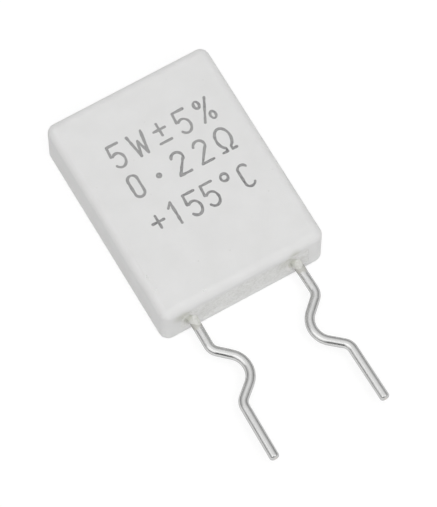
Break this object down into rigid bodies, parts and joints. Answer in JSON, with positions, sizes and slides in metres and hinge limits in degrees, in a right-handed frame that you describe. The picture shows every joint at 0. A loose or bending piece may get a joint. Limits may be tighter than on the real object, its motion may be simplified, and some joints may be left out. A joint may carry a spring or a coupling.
{
  "type": "cement power resistor",
  "caption": "Flat white ceramic-cased power resistor, filled with cement, with kinked wire leads from one end that stand it off a circuit board.",
  "frame": {"origin": "centre of the case's back face, on which the part lies", "axes": "+Z out of the front face, leads along -Y from the open end of the case, +X to the right when the front face is seen with the leads down"},
  "size_m": [0.0144, 0.0322, 0.0048],
  "materials": {
    "ceramic": "matte",
    "cement": "matte",
    "resistance_alloy": "satin",
    "tinned_wire": "satin"
  },
  "bodies": {
    "root": {"ceramic_case": "ceramic", "cement_fill": "cement", "resistance_plate": "resistance_alloy", "lead_left": "tinned_wire", "lead_right": "tinned_wire"}
  },
  "joints": []
}
